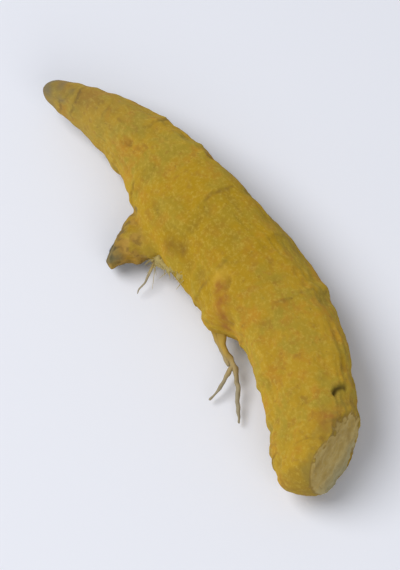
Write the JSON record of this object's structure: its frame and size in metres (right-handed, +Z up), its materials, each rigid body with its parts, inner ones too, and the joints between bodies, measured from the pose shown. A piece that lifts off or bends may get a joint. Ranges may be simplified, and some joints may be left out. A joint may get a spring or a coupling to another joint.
{
  "type": "dried turmeric root",
  "caption": "Dried turmeric finger: a bent, branched rhizome with a thin bud end, a blunt side shoot, a broken thick end and a few thin roots. Lies on small flats.",
  "frame": {"origin": "middle of the bounding box, at the bottom, on the surface the root lies on", "axes": "+X along the root, from the thin bud end to the broken thick end; +Z up; the side shoot points to -Y"},
  "size_m": [0.061, 0.0192, 0.0124],
  "materials": {
    "dried_skin": "dull, powdery, dried rhizome skin"
  },
  "bodies": {
    "root": {"turmeric_finger": "dried_skin"}
  },
  "joints": []
}
